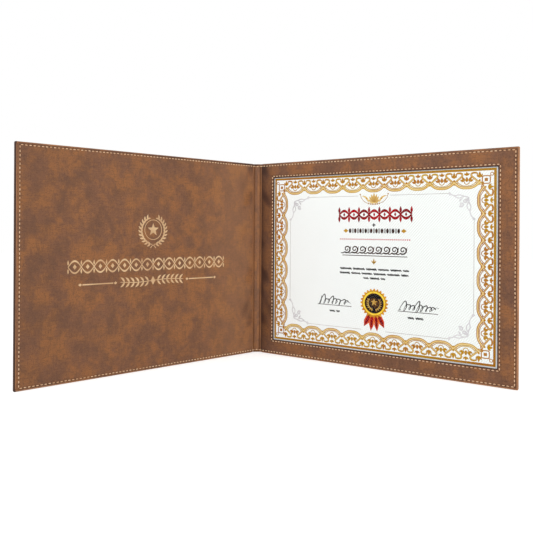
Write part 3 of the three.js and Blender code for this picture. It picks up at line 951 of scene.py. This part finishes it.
def inkMaterial(name, light, dark, scale, roughness, metallic=0.0):
    r = Recipe(name)
    at = r.objectPlace()
    sweep = r.noise(at, scale, 2.0, 0.5, 0.3)
    specks = r.noise(at, 1500, 2.0, 0.6)
    shade = r.tint(r.mask(sweep, 0.35, 0.66), colour(*light), colour(*dark))
    shade = r.tint(r.mask(specks, 0.5, 0.8) * 0.5, shade, colour(*dark))
    return r.surface({"Base Color": shade, "Roughness": roughness + 0.15 * specks, "Metallic": metallic,
                      "Specular IOR Level": 0.06, "Normal": r.bump(specks, 0.01 * mm, 0.4)})


inkRecipes = {  # light and dark shade, how fine the change between them is, roughness, and shine if any
    "gold_ink": ((196, 158, 34), (172, 110, 34), 12, 0.42),
    "amber_ink": ((180, 122, 40), (158, 96, 28), 14, 0.42),
    "deep_gold_ink": ((186, 138, 10), (172, 106, 16), 14, 0.42),
    "bronze_ink": ((176, 128, 14), (156, 92, 6), 11, 0.42),
    "pale_gold_ink": ((238, 212, 150), (226, 190, 118), 40, 0.5),
    "glint_gold_ink": ((220, 184, 90), (172, 122, 48), 150, 0.45),
    "crest_gold_ink": ((226, 194, 122), (212, 172, 98), 40, 0.5),
    "red_ink": ((174, 0, 18), (126, 0, 10), 90, 0.45),
    "fine_red_ink": ((200, 66, 76), (184, 46, 58), 90, 0.5),
    "dark_ink": ((20, 9, 6), (9, 4, 3), 80, 0.5),
    "brown_ink": ((62, 34, 28), (40, 20, 17), 80, 0.5),
    "umber_ink": ((96, 56, 14), (44, 22, 6), 260, 0.5),
    "grey_ink": ((196, 190, 187), (176, 170, 168), 40, 0.6),
    "pale_grey_ink": ((219, 217, 219), (204, 202, 205), 40, 0.6),
    # painted shade of the paper's margin under the window's lip
    "margin_shade_ink": ((220, 224, 223), (206, 211, 212), 40, 0.6),
    "ribbon_red_ink": ((226, 102, 36), (210, 62, 26), 150, 0.45),
    "seal_gold_ink": ((226, 166, 36), (190, 118, 20), 110, 0.4),
    "bright_gold_ink": ((252, 222, 70), (236, 184, 40), 110, 0.4),
    "engraved_gold": ((222, 190, 148), (198, 160, 120), 45, 0.5, 0.1),
}
inks = {name: inkMaterial(name, *recipe) for name, recipe in inkRecipes.items()}

sheet = {
    "face": 1.32, "middle": (151.85, 120.8), "line": (130.9, 99.65), "cell": (25.64, 27.16), "cells": (9, 6),
    "reach": (3.3, 2.6), "sideSize": (1.06, 0.92), "cornerAt": (121.8, 88.9), "bronzeLine": (-0.35, 2.5),
    "marginShade": (2.8, 3.8), "ruleHalf": (109.65, 76.45), "ruleMiddle": (152.35, 120.15),
}
cornerWays = ((-1, -1), (-1, 1), (1, -1), (1, 1))  # which way each corner lies from the middle


# One cell of the lace border, drawn along the top edge with the sheet's edge upwards: a double scallop that
# hangs inward and, over it, a palmette of pointed leaves in a cup, with a small bud on top
def laceCell():
    half = [(0, -15.4), (4.4, -15.3), (8.6, -13.4), (11.4, -10.8), (14.0, -9.2)]
    scallop = [(-x, z) for x, z in half[:0:-1]] + half
    inside = [(0.84 * x, z + 2.0) for x, z in scallop[1:-1]]
    leaves = [leaf((0, -9.4), (0, -3.9), 3.2), leaf((0, -3.2), (0, 1.4), 2.6)]
    for way in (-1, 1):
        leaves += [leaf((way * 1.7, -8.2), (way * 4.4, -3.4), 2.8, -0.1 * way),
                   leaf((way * 3.0, -9.0), (way * 7.0, -6.6), 2.2),
                   leaf((way * 0.3, -2.4), (way * 3.0, -0.2), 1.8)]
    cup = flowing([(-2.6, -8.4), (-2.3, -10.8), (0, -11.9), (2.3, -10.8), (2.6, -8.4)], 0.9, 0.3)
    return [flowing(scallop, 2.8), flowing(inside, 0.8), cup], leaves, [flowing(scallop, 1.15)]


# What stands between two cells: a bud on a bead, and to one side the loop that its strand makes
def laceKnot():
    strand = [(-3.2, -10.8), (0, -9.6), (2.6, -8.2), (5.6, -5.4), (8.4, -3.2), (8.2, -0.6), (5.4, 0.2),
              (2.8, -0.2), (2.0, -1.6)]
    bud = [leaf((0, -5.6), (0, 1.2), 2.9), disc(0, -7.8, 1.0)]
    bud += [leaf((way * 0.2, -4.9), (way * 2.7, -0.9), 1.9, -0.12 * way) for way in (-1, 1)]
    dip = [(-4.2, -9.4), (-2.4, -11.6), (0, -12.2), (2.4, -11.6), (4.2, -9.4)]
    return [flowing(strand, 2.0, 0.5), flowing(dip, 1.0, 0.3)], bud, [flowing(strand[1:6], 0.5, 0.5)]


def laceBorder():
    gold, amber = Artwork("lace_gold", "gold_ink"), Artwork("lace_amber", "amber_ink")
    deep, pale = Artwork("lace_leaves", "deep_gold_ink", 0.014), Artwork("lace_cores", "pale_gold_ink", 0.022)
    bronze, marginShade = Artwork("border_line", "bronze_ink"), Artwork("sheet_margin_shade", "margin_shade_ink")
    (cx, cz), (hx, hz) = sheet["middle"], sheet["line"]
    cell, knot = laceCell(), laceKnot()
    mirroredKnot = [[np.flip(shape * (-1, 1), -2) for shape in group] for group in knot]

    def repeat(art, shapes, along, reach, size, turns):  # the shapes at each place along two facing sides
        rows = np.stack([along, 0 * along + reach], -1)[:, None, None]
        for shape in shapes:
            art.draw(*[turned(shape[None] * size + rows, cx, cz, turn) for turn in turns], step=0.0004)

    for side, (art, turns, half, size) in enumerate((
            (gold, (0, 180), hz, (1.0, 1.0)), (amber, (90, 270), hx, sheet["sideSize"]))):
        pitch, count, reach = sheet["cell"][side], sheet["cells"][side], half - sheet["reach"][side]
        middles = (np.arange(count) - (count - 1) / 2) * pitch
        between = (np.arange(count + 1) - count / 2) * pitch
        for ink, cellShapes, knotShapes, loopShapes in (
                (art, cell[0], knot[0], mirroredKnot[0]), (pale, cell[2], knot[2], mirroredKnot[2])):
            repeat(ink, cellShapes, middles, reach, size, turns)
            repeat(ink, knotShapes, between[:-1], reach, size, turns)
            repeat(ink, loopShapes, between[1:], reach, size, turns)
        repeat(deep, cell[1], middles, reach, size, turns)
        repeat(deep, knot[1], between, reach, size, turns)
    for sx, sz in cornerWays:
        x, z = cx + sx * sheet["cornerAt"][0], cz + sz * sheet["cornerAt"][1]
        amber.draw(loop(x, z, 3.9, 1.1, 5.0), closed=True, level=0.006)
        amber.draw(loop(x + sx * 5.6, z + sz * 5.6, 1.5, 0.8), closed=True)
        amber.draw(straight(x - 1.6, z, x + 1.6, z, 3.2),
                   straight(x + sx * 3.2, z + sz * 3.2, x + sx * 4.8, z + sz * 4.8, 1.0))
    # The pale grey margin band is painted shade of the paper under the frame's lip
    for art, (out, width) in ((bronze, sheet["bronzeLine"]), (marginShade, sheet["marginShade"])):
        art.draw(band((cx, cz), (hx + out, hz + out), width), closed=True)
    return gold, amber, deep, pale, bronze, marginShade


# Fine grey rule inside the border: it breaks at the crest and at the ribbons, and turns into a vine at each
# corner, drawn from the corner inwards
def innerRule():
    grey, mist = Artwork("inner_rule", "grey_ink"), Artwork("corner_vines", "pale_grey_ink", 0.009)
    (mx, mz), (hx, hz) = sheet["ruleMiddle"], sheet["ruleHalf"]
    for way, gap in ((1, 19), (-1, 14.5)):
        for near, far in ((-hx + 25, -gap), (gap, hx - 25)):
            grey.draw(straight(mx + near, mz + way * hz, mx + far, mz + way * hz, 0.5), step=0)
    grey.draw(*[straight(mx + x, mz - hz + 26, mx + x, mz + hz - 26, 0.5) for x in (-hx, hx)])
    stem = [(25.6, -1.6), (23.6, 1.2), (19.6, 2.8), (14.8, 1.4), (9.6, 3.6), (5.2, 4.4), (5.6, 9.4),
            (2.8, 14.2), (4.6, 19.0), (2.6, 24.6), (-0.6, 27.0)]
    vine = [
        flowing(stem, 1.2, 0.3), flowing([(20.4, 2.8), (16.0, 5.6), (10.6, 3.6)], 1.1, 0.3),
        flowing([(5.2, 8.6), (8.0, 13.8), (4.2, 19.2)], 1.1, 0.3),
        spiral(25.2, 0.6, 1.5, 1.2, 90, 1.1, 1), spiral(0.4, 26.4, 1.5, 1.2, 180, 1.1, -1),
        spiral(12.8, 11.8, 2.5, 1.3, 30, 1.7, 1), spiral(9.4, 8.0, 2.2, 1.2, 210, 1.7, -1),
        leaf((5.6, 5.2), (10.6, 6.6), 2.0, 0.15), leaf((5.6, 5.2), (7.0, 10.2), 2.0, -0.15),
        leaf((14.6, 9.4), (11.2, 5.4), 1.8, 0.2),
    ]
    for sx, sz in cornerWays:
        for order, shape in enumerate(vine):
            mist.draw(shape * (-sx, -sz) + (mx + sx * hx, mz + sz * hz), level=0.001 * order)
    return grey, mist


# Crest over the heading: a fan of seven leaves on a row of beads, between two long curled leaves
def crest(x=152.5, z=188.0):
    pale, bronze = Artwork("crest_pale", "crest_gold_ink"), Artwork("crest_bronze", "bronze_ink", 0.012)
    fan = ((0, 12.0), (-19, 11.0), (19, 11.0), (-38, 9.8), (38, 9.8), (-60, 8.2), (60, 8.2))
    for angle, length in fan:  # degrees from upright
        tip = around(x, z, length, math.radians(90 - angle))
        vein = (x + 0.8 * (tip[0] - x), z + 0.8 * (tip[1] - z))
        pale.draw(leaf((x, z), tip, 3.6), step=0.001)
        bronze.draw(leaf((x, z + 1.4), vein, 0.55), step=0.0002)
    bronze.draw(*[disc(x + i * 2.1, z - 1.2 + 0.09 * i * i, 0.8) for i in range(-3, 4)])
    for way in (-1, 1):
        curl = [(x + way * out, z + up) for out, up in ((5.5, -0.6), (11, 1.2), (15.5, 6), (16.6, 9.6))]
        pale.draw(leaf((x + way * 6.5, z + 0.6), (x + way * 16.0, z + 8.6), 2.3, way * 0.2))
        bronze.draw(flowing(curl, 0.55, 0.3))
        bronze.draw(disc(x + way * 16.8, z + 10.4, 0.8), disc(x + way * 9.2, z + 5.4, 0.7))
    return pale, bronze


headingBraid = {
    "at": (152.8, 175.2), "eyes": 7, "eye": 12.4, "tall": 4.4, "points": 29, "strand": (1.7, 1.5),
    "over": 0.0012, "lozenge": (2.6, 5.2), "leaf": (1.6, 9.2, 2.9), "beads": (0.9,), "leafLevel": 0.006,
}


def heading():
    red = Artwork("heading_red", "red_ink")
    braid(red, *headingBraid["at"], headingBraid)
    return (red,)


# Words stand as short waves of the pen, between random gaps
def penWords(art, x0, x1, z, tall, pitch, width):
    at = x0
    while at < x1 - 2 * pitch:
        length = min(random.integers(3, 10) * pitch, x1 - at)
        t = np.linspace(0, length, max(int(length / pitch) * 8, 8))
        knots = np.arange(0, length + pitch, pitch)
        rise = 0.5 + 0.5 * np.interp(t, knots, random.random(len(knots)))
        wave = np.stack([at + t, z + tall * rise * np.sin(2 * np.pi * t / pitch)], -1)
        art.draw(ribbon(wave, width), step=0)
        at += length + 1.1 * pitch


# Pen flourish: a run of leaning loops, each of another height and width, over a slow swell
def flourish(x, z, length, loops, tall, lean):
    t = np.linspace(0, 1, loops * 24)
    knots = np.linspace(0, 1, loops + 1)
    reach = 0.2 + 0.35 * random.random(loops + 1)
    reach[[0, 1, loops // 2]] += (0.5, 0.35, 0.45)
    swell = tall * np.interp(t, knots, reach)
    a = 2 * np.pi * np.interp(t, knots, np.arange(loops + 1) + 0.35 * random.random(loops + 1))
    rise = swell * (np.cos(a) + 0.25 * np.sin(2.3 * a + 1.0))
    line = np.stack([x + length * t + 0.05 * length * np.sin(a) + lean * rise, z + rise - 0.2 * tall * t], -1)
    return ribbon(line, 0.85 + 0.35 * np.sin(a + 0.8))


writingRows = {  # heights on the sheet of what is drawn, and each row of pen words
    "star": 163.3, "beads": 156.6, "fineRow": 146.9, "scroll": 135.4, "underline": 128.2, "flower": 120.2,
    "penWords": ((111.0, 193.5, 112.8, 1.25, 1.6, 0.85), (110.5, 193.0, 107.7, 1.25, 1.6, 0.85),
                 (140.0, 166.0, 102.6, 1.25, 1.6, 0.85), (97.5, 110.5, 61.9, 1.35, 1.7, 0.9),
                 (192.5, 214.5, 61.7, 1.35, 1.7, 0.9)),
    "flourishes": ((84.0, 74.2, 36, 7, 6.4, 0.4), (184.0, 74.0, 37, 8, 6.4, 0.45)),
    "underFlourishes": ((81.5, 68.7, 125.5), (181.0, 68.3, 225.5)),
}


def beadsAndReels(art, x, z, count=10, pitch=6.5):
    for i in range(count):
        at = x - 29.5 + i * pitch
        art.draw(disc(at, z, 1.55, 1.75), level=0)
        if i < count - 1:
            art.draw(*[straight(at + out, z - 2.7, at + out, z + 2.7, 0.75) for out in (2.6, 3.9)])


def runningScroll(art, x, z, count=8, pitch=9.6):
    for i in range(count):
        at = x - 37.6 + i * pitch
        link = flowing([(at - 3.4, z - 4.5), (at - 0.4, z - 4.8), (at + 1.4, z - 3.2)], 1.1, 0.4)
        art.draw(spiral(at + 4.4, z, 4.6, 1.5, 225, 1.7), level=0)
        art.draw(link, leaf((at + 8.6, z - 3.0), (at + 9.6, z + 3.8), 1.2, 0.1))


def writing(x=152.7):
    dark, brown = Artwork("dark_writing", "dark_ink"), Artwork("brown_writing", "brown_ink")
    rose, gold = Artwork("fine_red_row", "fine_red_ink"), Artwork("gold_writing", "gold_ink")
    fine = Artwork("pen_writing", "dark_ink")
    spark = (x - 0.2, writingRows["star"])
    dark.draw(*[leaf(spark, around(*spark, 2.4, turn * np.pi / 2), 1.3) for turn in range(4)])
    beadsAndReels(brown, x, writingRows["beads"])
    gold.draw(*[lozenge(x + way * 34.8, writingRows["beads"], 6.4, 4.8) for way in (-1, 1)], step=0)
    rose.draw(np.stack([lozenge(x - 41.5 + i * 2.44, writingRows["fineRow"], 2.0, 1.9) for i in range(35)]))
    runningScroll(brown, x, writingRows["scroll"])
    brown.draw(straight(x - 39, writingRows["underline"], x + 39, writingRows["underline"], 0.85), level=0)
    z = writingRows["flower"]
    gold.draw(leaf((x, z - 2.0), (x, z + 5.2), 2.1), lozenge(x, z, 4.0, 1.0),
              *[leaf((x, z + 0.2), (x - way * 2.6, z + 3.2), 1.3, way * 0.2) for way in (1, -1)])
    for row in writingRows["penWords"]:
        penWords(fine, *row)
    for order, run in enumerate(writingRows["flourishes"]):
        fine.draw(flourish(*run), level=0.004 + layer["step"] * order)
    fine.draw(flowing([(118, 72), (121, 75), (124.5, 71.5)], 0.4, 0.5),
              flowing([(219, 71), (223, 75.5), (226.5, 74.5)], 0.4, 0.5))
    brown.draw(*[straight(x0, z, x1, z, 0.7) for x0, z, x1 in writingRows["underFlourishes"]])
    return dark, brown, rose, gold, fine


sealSizes = {
    "field": 11.2, "middle": 5.6, "star": (4.4, 1.9), "teeth": 24, "tooth": (14.4, 2.4), "shine": (12.5, 2.0),
    "rings": ((11.3, 0.5), (13.9, 0.4)), "laurel": (7.0, 7, 17, ((0.5, 3.0), (1.6, 2.4)), 1.3),
    "tails": (((3.6, -10.5), (12.2, -27.0), 6.6), ((1.9, -10.5), (3.8, -31.6), 5.8)), "tailPoint": 0.34,
}


# Seal: a toothed rosette round a bright band, a dark field with a star between two laurel sprays, over four
# pointed ribbon tails, the outer two spread wide
def seal(x=153.3, z=74.5):
    tails, folds, teeth, shine, rim, field, middle, mark = (
        Artwork("seal_" + part, ink, first) for part, ink, first in (
            ("tails", "ribbon_red_ink", layer["first"]), ("folds", "red_ink", 0.01),
            ("rosette", "seal_gold_ink", 0.014), ("shine", "bright_gold_ink", 0.018),
            ("rings", "bronze_ink", 0.022), ("field", "dark_ink", 0.024),
            ("middle", "umber_ink", 0.028), ("mark", "glint_gold_ink", 0.032)))
    along = np.linspace(0, 1, 15)[:, None]
    point = np.minimum(1, (1 - along[:, 0]) / sealSizes["tailPoint"])
    for way in (-1, 1):
        for top, foot, width in sealSizes["tails"]:
            line = np.array([x, z]) + (np.array(top) * (1 - along) + np.array(foot) * along) * (way, 1)
            for art, share in ((tails, 1.0), (folds, 0.5)):
                art.draw(ribbon(line, share * width * point), step=0.001)
    count, (root, tall) = sealSizes["teeth"], sealSizes["tooth"]
    a = np.linspace(0, 2 * np.pi, 8 * count + 1)
    reaches = (10.8, 12.6, 14.2, root + tall * np.abs(np.cos(count / 2 * a)) ** 1.3)
    teeth.draw(np.stack([around(x, z, reach, a) for reach in reaches], 1))
    shine.draw(loop(x, z, *sealSizes["shine"]), closed=True)
    rim.draw(*[loop(x, z, *ring) for ring in sealSizes["rings"]], closed=True)
    field.draw(disc(x, z, sealSizes["field"]))
    middle.draw(disc(x, z + 0.6, sealSizes["middle"]))
    mark.draw(star(x, z + 1.2, *sealSizes["star"]), *laurel(x, z, *sealSizes["laurel"]))
    return tails, folds, teeth, shine, rim, field, middle, mark


def sheetFace(x, z):
    return sheet["face"] + 0 * x


for drawing in (laceBorder(), innerRule(), crest(), heading(), writing(), seal()):
    for art in drawing:
        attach(art.lay("back", sheetFace), "certificate_sheet")
print("certificate printed")

engraved = {
    "wreath": (150.0, 155.5), "star": (7.6, 3.1), "ring": (11.0, 0.8), "stem": 15.4,
    "laurel": (11, 13.5, ((0.75, 5.0), (1.95, 5.0)), 2.0), "braidAt": (150.0, 118.0),
    "sprayAt": (150.0, 99.8), "rules": ((65.5, 101.0), (199.5, 235.0)),
}
engravedBraid = {
    "eyes": 14, "eye": 14.4, "tall": 6.2, "points": 25, "strand": (0.9, 0.9), "over": 0.001,
    "lozenge": (4.2, 5.4), "leaf": (1.8, 7.2, 1.7), "beads": (), "leafLevel": 0,
}


# Spray between two rules: a swaying stem with leaf pairs that point away from a lozenge in the middle
def spray(art, x, row):
    sway = [(x - 41, row), (x - 20, row + 1.4), (x, row), (x + 20, row - 1.4), (x + 41, row)]
    art.draw(flowing(sway, 0.8, 0.4), level=0)
    for i in (*range(-6, 0), *range(1, 7)):
        way = 1 if i > 0 else -1
        at = np.array([x + i * 6.0, row + 0.9 * math.sin(-i * 0.5)])
        for up in (-1, 1):
            art.draw(leaf(at, at + np.array([way * 5.0, up * 5.4]), 2.2, up * way * 0.1), level=0.0025)
    art.draw(lozenge(x, row, 5.6, 9.6), level=0.0025)
    level = row - 0.4
    for x0, x1 in engraved["rules"]:
        art.draw(straight(x0, level, x1, level, 1.3), level=0)
        art.draw(lozenge(x0 - 2.6, level, 4.0, 3.2), lozenge(x1 + 2.6, level, 4.0, 3.2))


# Engraving inside the cover: a star in a laurel wreath over a braid, and under it the spray
def engraving():
    tan = Artwork("cover_engraving", "engraved_gold", 0.014)
    x, z = engraved["wreath"]
    tan.draw(star(x, z + 1.0, *engraved["star"]))
    tan.draw(loop(x, z + 1.0, *engraved["ring"]), closed=True)
    tan.draw(*laurel(x, z, engraved["stem"], *engraved["laurel"]), level=0)
    for order, way in enumerate((-1, 1)):
        arc = np.radians(-90 + way * np.linspace(4, 152, 40))
        tan.draw(ribbon(around(x, z, engraved["stem"], arc), 0.7), level=layer["step"] * order)
    tan.draw(flowing([(x - 3.5, z - 19.5), (x, z - 15.2), (x + 3.5, z - 19.5)], 0.8))
    braid(tan, *engraved["braidAt"], engravedBraid)
    spray(tan, *engraved["sprayAt"])
    return tan


def liningFace(x, z):  # the same soft unevenness as the lining's own face
    return waviness(x, z, np.minimum(np.minimum(z, panel["height"] - z), panel["width"] - x))


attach(engraving().lay("front", liningFace), "front_cover")
print("cover engraved")

studio = {
    "floorSize": 6000.0, "floorTiles": 12, "floorDepth": 0.02, "floorColour": (0.78, 0.78, 0.78, 1),
    "floorGlow": 0.5, "ambient": 0.7, "white": (1, 1, 1, 1), "aim": (0.0, 0.05, 0.12),
    "lights": {
        "key_light": {"power": 20.3, "from": (2.3, -0.5, 1.05), "size": 1.6},
        "fill_light": {"power": 19.3, "from": (-0.35, -2.0, 0.9), "size": 1.2},
    },
}


# 1 where the camera looks straight at the floor or the sky, or sees it in a gloss or through the clear sheet
def seenBackdrop(r):
    seen = r.add("LightPath", out="Is Camera Ray")
    for kind in ("Is Glossy Ray", "Is Transmission Ray"):
        seen = r.add("Math", {"operation": "MAXIMUM"}, {0: seen, 1: r.add("LightPath", out=kind)})
    return seen


def studioFloor():
    r = Recipe("studio_floor")
    plain = r.add("BsdfDiffuse", {}, {"Color": studio["floorColour"]})
    glow = r.add("Emission", {}, {"Color": studio["white"], "Strength": studio["floorGlow"]})
    both = r.add("AddShader", {}, {0: plain, 1: glow})
    r.add("OutputMaterial", {}, {"Surface": r.add("MixShader", {}, {0: seenBackdrop(r), 1: plain, 2: both})})
    across = studio["floorTiles"] + 1
    at = np.linspace(-studio["floorSize"] / 2, studio["floorSize"] / 2, across)
    grid = stack(*np.meshgrid(at, at), -studio["floorDepth"])
    addPiece("studio_floor", grid, quads(across, across), r.owner, closed=False)


def studioSky():
    r = Recipe("studio_world", bpy.data.worlds)
    soft = r.add("Background", {}, {"Color": studio["white"], "Strength": studio["ambient"]})
    white = r.add("Background", {}, {"Color": studio["white"]})
    r.add("OutputWorld", {}, {"Surface": r.add("MixShader", {}, {0: seenBackdrop(r), 1: soft, 2: white})})
    bpy.context.scene.world = r.owner


def studioLight(name, lie):
    lamp = bpy.data.lights.new(name, "AREA")
    lamp.energy, lamp.size, lamp.shape = lie["power"], lie["size"], "DISK"
    holder = addObject(name, lamp)
    holder.location = lie["from"]
    aim = np.array(studio["aim"]) - np.array(lie["from"])
    flat = math.hypot(aim[0], aim[1])
    holder.rotation_euler = (math.pi / 2 + math.atan2(aim[2], flat), 0, math.atan2(-aim[0], aim[1]))
    holder.visible_camera = False


studioFloor()
for name, lie in studio["lights"].items():
    studioLight(name, lie)
studioSky()

view = {
    "place": (322.73, -498.79, 158.41), "yaw": 36.032, "roll": 0.3335, "lens": 41.053, "sensor": 36.0,
    "shift": (0.05548, -0.07127), "clip": (0.01, 50.0),
}
lens = bpy.data.cameras.new("photo_camera")
camera = addObject("photo_camera", lens)
camera.location = [v * mm for v in view["place"]]
camera.rotation_euler = (math.pi / 2, -math.radians(view["roll"]), math.radians(view["yaw"]))
lens.lens, lens.sensor_width = view["lens"], view["sensor"]
lens.shift_x, lens.shift_y = view["shift"]
lens.clip_start, lens.clip_end = view["clip"]
bpy.context.scene.camera = camera
bpy.context.scene.view_settings.view_transform = "Standard"
print("studio ready")
